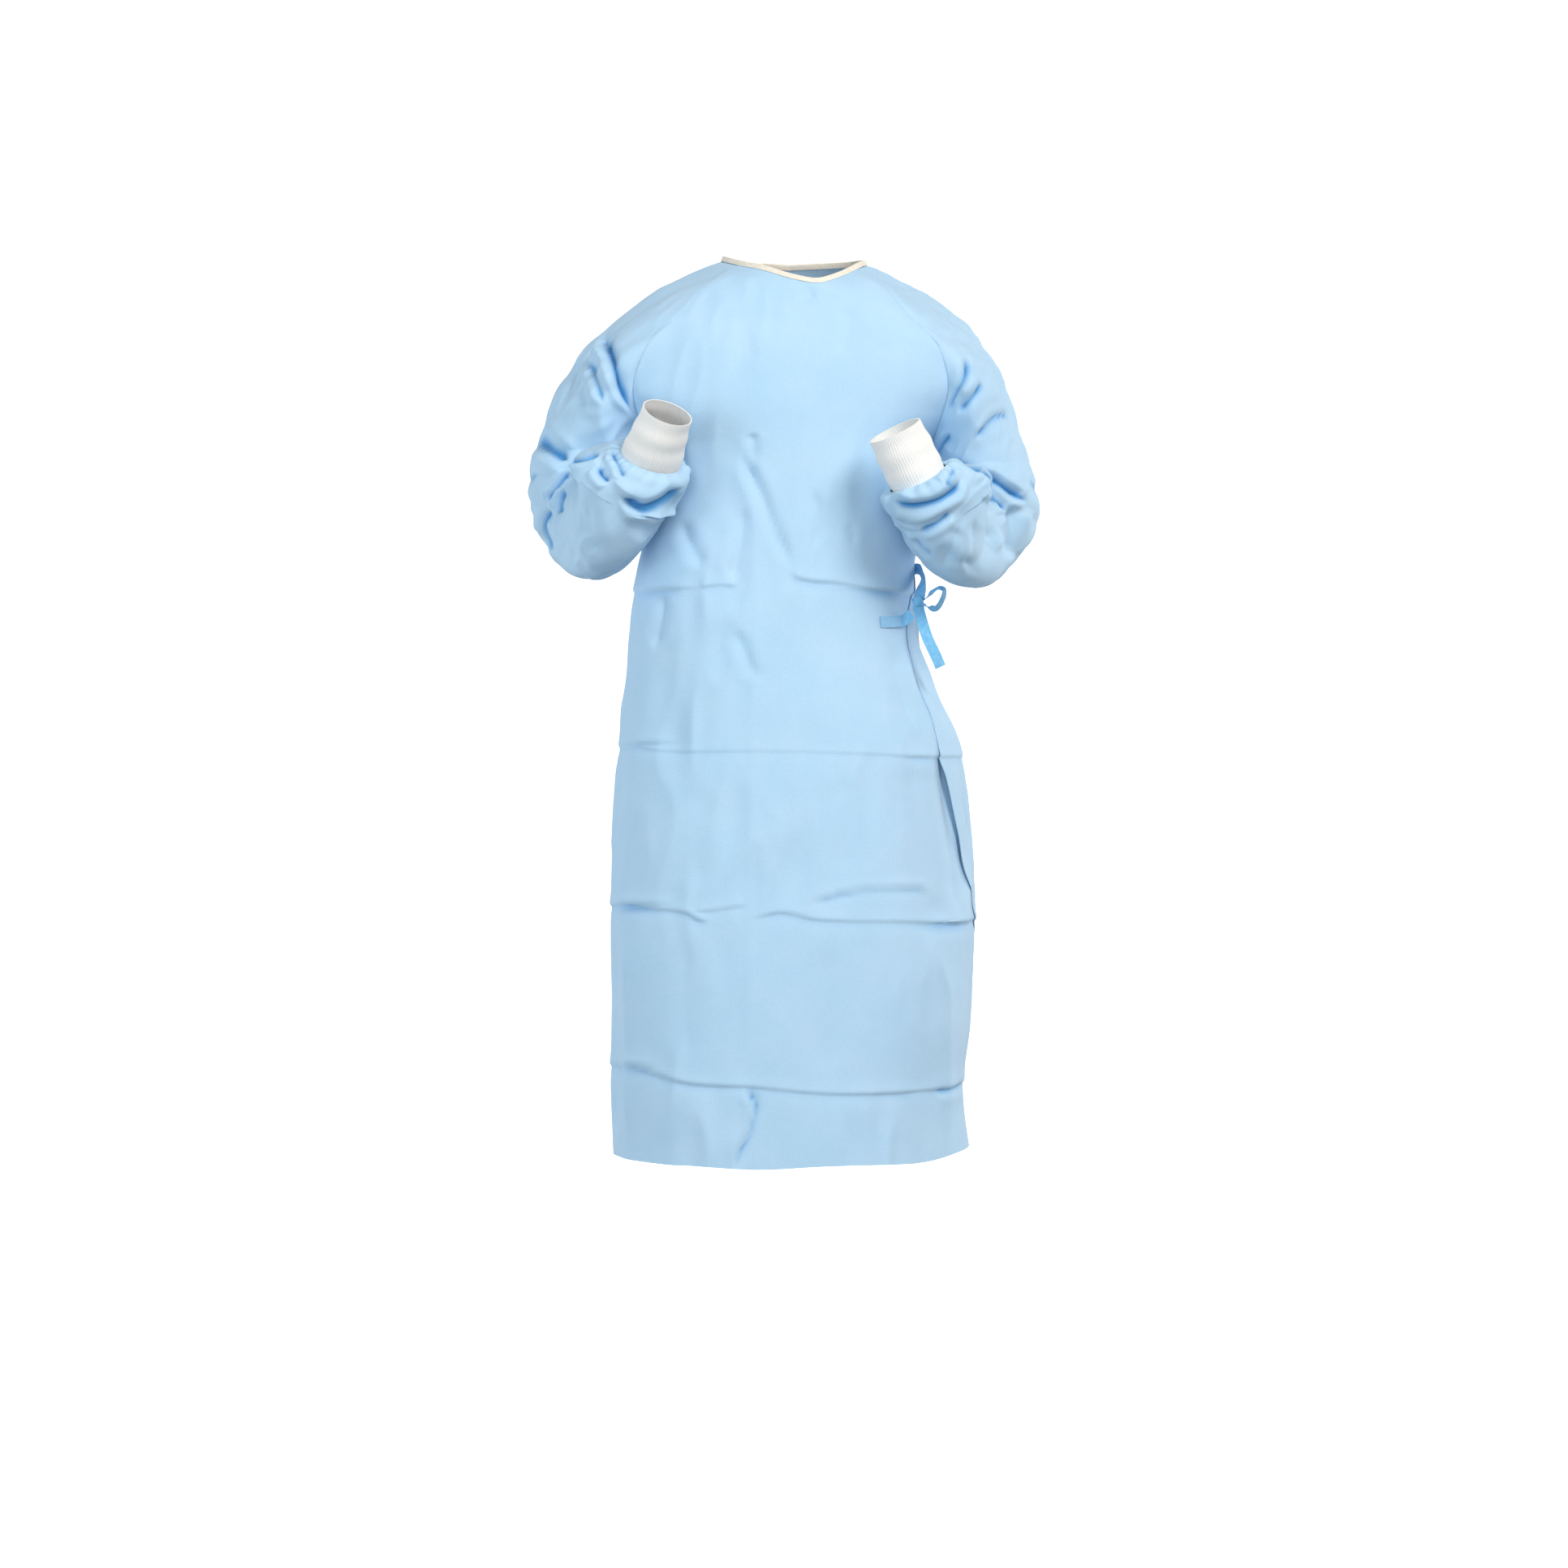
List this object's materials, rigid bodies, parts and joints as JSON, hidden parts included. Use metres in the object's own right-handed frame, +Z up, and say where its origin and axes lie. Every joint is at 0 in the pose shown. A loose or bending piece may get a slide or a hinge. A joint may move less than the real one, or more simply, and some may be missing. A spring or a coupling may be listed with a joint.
{
  "type": "surgical gown",
  "caption": "Long-sleeved wrap-around surgical gown in its worn form, with knitted cuffs, a bound round neck and waist ties, forearms raised in front.",
  "frame": {"origin": "midway between the two shoulder points beside the neck, where the wearer's shoulders hold the gown up", "axes": "+Z up, -Y out of the gown's front, +X to the wearer's left"},
  "size_m": [0.6438, 0.4137, 1.1387],
  "materials": {
    "gown_cloth": "matte pale blue non-woven",
    "knit_cuff": "white rib knit",
    "neck_binding": "cream binding tape",
    "tie_tape": "matte mid-blue tape",
    "fastener": "pale hook-and-loop patch"
  },
  "bodies": {
    "root": {"front_panel": "gown_cloth", "back_panel_outer": "gown_cloth", "back_panel_inner": "gown_cloth", "sleeve_left": "gown_cloth", "sleeve_right": "gown_cloth", "cuff_left": "knit_cuff", "cuff_right": "knit_cuff", "neck_binding": "neck_binding", "front_tie": "tie_tape", "back_tie": "tie_tape", "bow_loop": "tie_tape", "tie_tail": "tie_tape", "tie_knot": "tie_tape", "neck_fastener": "fastener"}
  },
  "joints": []
}
